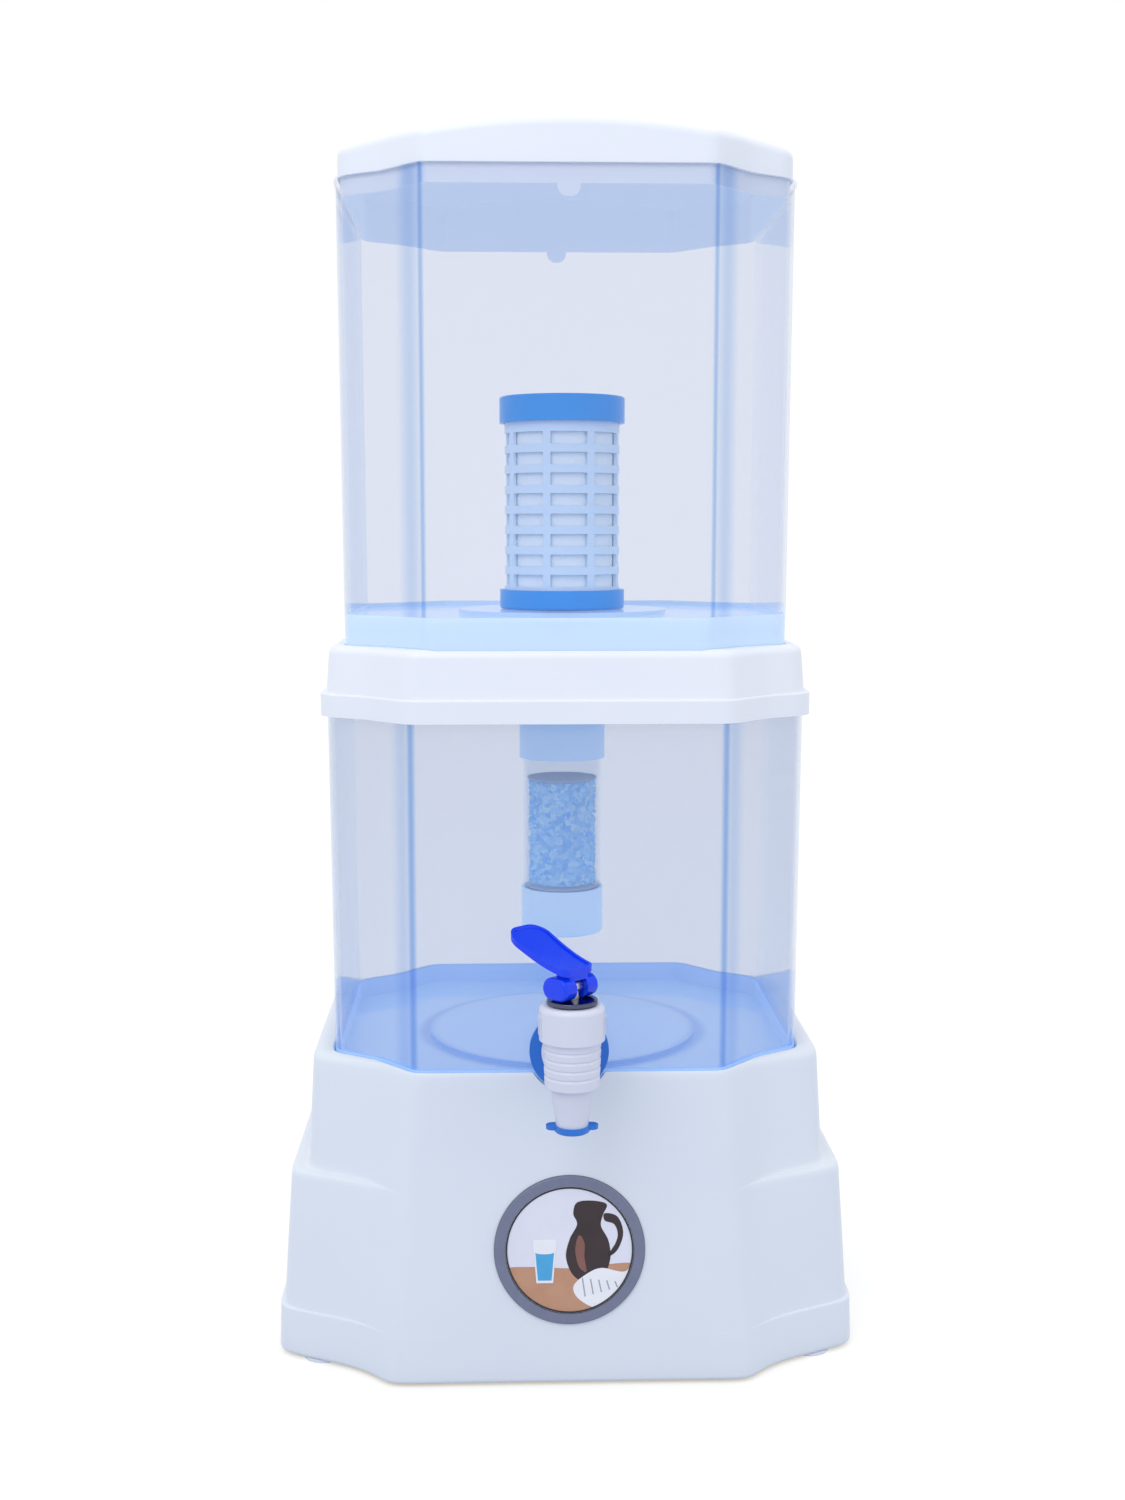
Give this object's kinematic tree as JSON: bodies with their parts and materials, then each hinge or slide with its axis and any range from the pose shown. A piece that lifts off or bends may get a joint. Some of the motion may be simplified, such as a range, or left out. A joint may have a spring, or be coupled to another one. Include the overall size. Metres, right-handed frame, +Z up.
{
  "type": "gravity water filter",
  "caption": "Two-tank gravity water filter on a stepped hollow stand, with a domed lid, sediment filter, granule cartridge and a press-lever tap.",
  "frame": {"origin": "on the floor under the middle of the whole, between the tap's front and the stand's back edge", "axes": "+Z up, the tap points to -Y, +X to the right of the front"},
  "size_m": [0.3262, 0.3198, 0.685],
  "materials": {
    "white_moulding": "satin",
    "foot_rubber": "matt",
    "badge_ring_plastic": "satin",
    "badge_print": "satin print",
    "clear_blue_plastic": "clear, slightly blue",
    "blue_rubber": "satin",
    "tap_plastic": "satin",
    "blue_plastic": "gloss",
    "spring_steel": "bright drawn wire",
    "ring_steel": "polished",
    "stem_steel": "turned",
    "valve_rubber": "matt",
    "lever_plastic": "gloss",
    "cap_plastic": "gloss",
    "cage_plastic": "satin",
    "filter_fibre": "soft fibre",
    "collar_plastic": "milky",
    "cartridge_clear": "clear, slightly blue",
    "foot_plastic": "milky",
    "screen_mesh": "woven mesh",
    "mineral_granules": "granules"
  },
  "bodies": {
    "base": {"base_stand": "white_moulding", "base_feet": "foot_rubber", "badge_ring": "badge_ring_plastic", "badge_plate": "badge_print"},
    "lower_tank": {"lower_tank": "clear_blue_plastic", "tap_body": "tap_plastic", "tap_washer_outer": "blue_rubber", "tap_washer_inner": "blue_rubber", "tap_nut": "tap_plastic", "tap_bonnet": "tap_plastic", "spout_ring": "blue_plastic", "tap_spring": "spring_steel"},
    "tap_swivel": {"swivel_ring": "ring_steel"},
    "tap_stem": {"tap_stem": "stem_steel", "tap_plug": "valve_rubber", "lever_pin": "stem_steel"},
    "tap_lever": {"tap_lever": "lever_plastic"},
    "mid_cover": {"mid_cover": "white_moulding"},
    "upper_tank": {"upper_tank": "clear_blue_plastic", "outlet_seal": "valve_rubber", "outlet_nut": "tap_plastic"},
    "sediment_filter": {"filter_base_cap": "cap_plastic", "filter_base_seal": "valve_rubber", "filter_cage": "cage_plastic", "filter_core": "filter_fibre", "filter_tube": "cage_plastic"},
    "filter_cap": {"filter_top_cap": "cap_plastic"},
    "cartridge_thread": {"cartridge_seal": "valve_rubber"},
    "granule_cartridge": {"cartridge_collar": "collar_plastic", "cartridge_tube": "cartridge_clear", "cartridge_foot": "foot_plastic", "cartridge_top_screen": "screen_mesh", "cartridge_bottom_screen": "screen_mesh", "cartridge_granules": "mineral_granules"},
    "top_lid": {"top_lid": "white_moulding"}
  },
  "joints": [
    {"name": "lower_tank_lift", "type": "slide", "parent": "base", "child": "lower_tank", "axis": [0, 0, 1], "range_m": [0, 0.05]},
    {"name": "lever_turn", "type": "hinge", "parent": "lower_tank", "child": "tap_swivel", "pos_m": [0, -0.14295, 0.2207], "axis": [0, 0, 1], "continuous": true},
    {"name": "stem_lift", "type": "slide", "parent": "tap_swivel", "child": "tap_stem", "axis": [0, 0, 1], "range_m": [0, 0.00179], "deforming": ["tap_spring"]},
    {"name": "lever_press", "type": "hinge", "parent": "tap_stem", "child": "tap_lever", "pos_m": [0, -0.14295, 0.2299], "axis": [-0.7071, -0.7071, 0], "range_deg": [0, 28], "stiffness_Nm_per_rad": 0.25, "springref_deg": -34.38},
    {"name": "cover_lift", "type": "slide", "parent": "lower_tank", "child": "mid_cover", "axis": [0, 0, 1], "range_m": [0, 0.06]},
    {"name": "upper_tank_lift", "type": "slide", "parent": "mid_cover", "child": "upper_tank", "axis": [0, 0, 1], "range_m": [0, 0.2]},
    {"name": "filter_lift", "type": "slide", "parent": "upper_tank", "child": "sediment_filter", "axis": [0, 0, 1], "range_m": [0, 0.1]},
    {"name": "filter_cap_lift", "type": "slide", "parent": "sediment_filter", "child": "filter_cap", "axis": [0, 0, 1], "range_m": [0, 0.03]},
    {"name": "lid_lift", "type": "slide", "parent": "upper_tank", "child": "top_lid", "axis": [0, 0, 1], "range_m": [0, 0.12]},
    {"name": "cartridge_screw_out", "type": "slide", "parent": "upper_tank", "child": "cartridge_thread", "axis": [0, 0, -1], "range_m": [0, 0.00751]},
    {"name": "cartridge_turn", "type": "hinge", "parent": "cartridge_thread", "child": "granule_cartridge", "pos_m": [0, 0.02355, 0.4005], "axis": [0, 0, 1], "range_deg": [0, 1080]}
  ],
  "couplings": [
    {"joint": "stem_lift", "follows": "lever_press", "m_per_rad": 0.0036505},
    {"joint": "cartridge_screw_out", "follows": "cartridge_turn", "m_per_rad": 0.00039789}
  ]
}
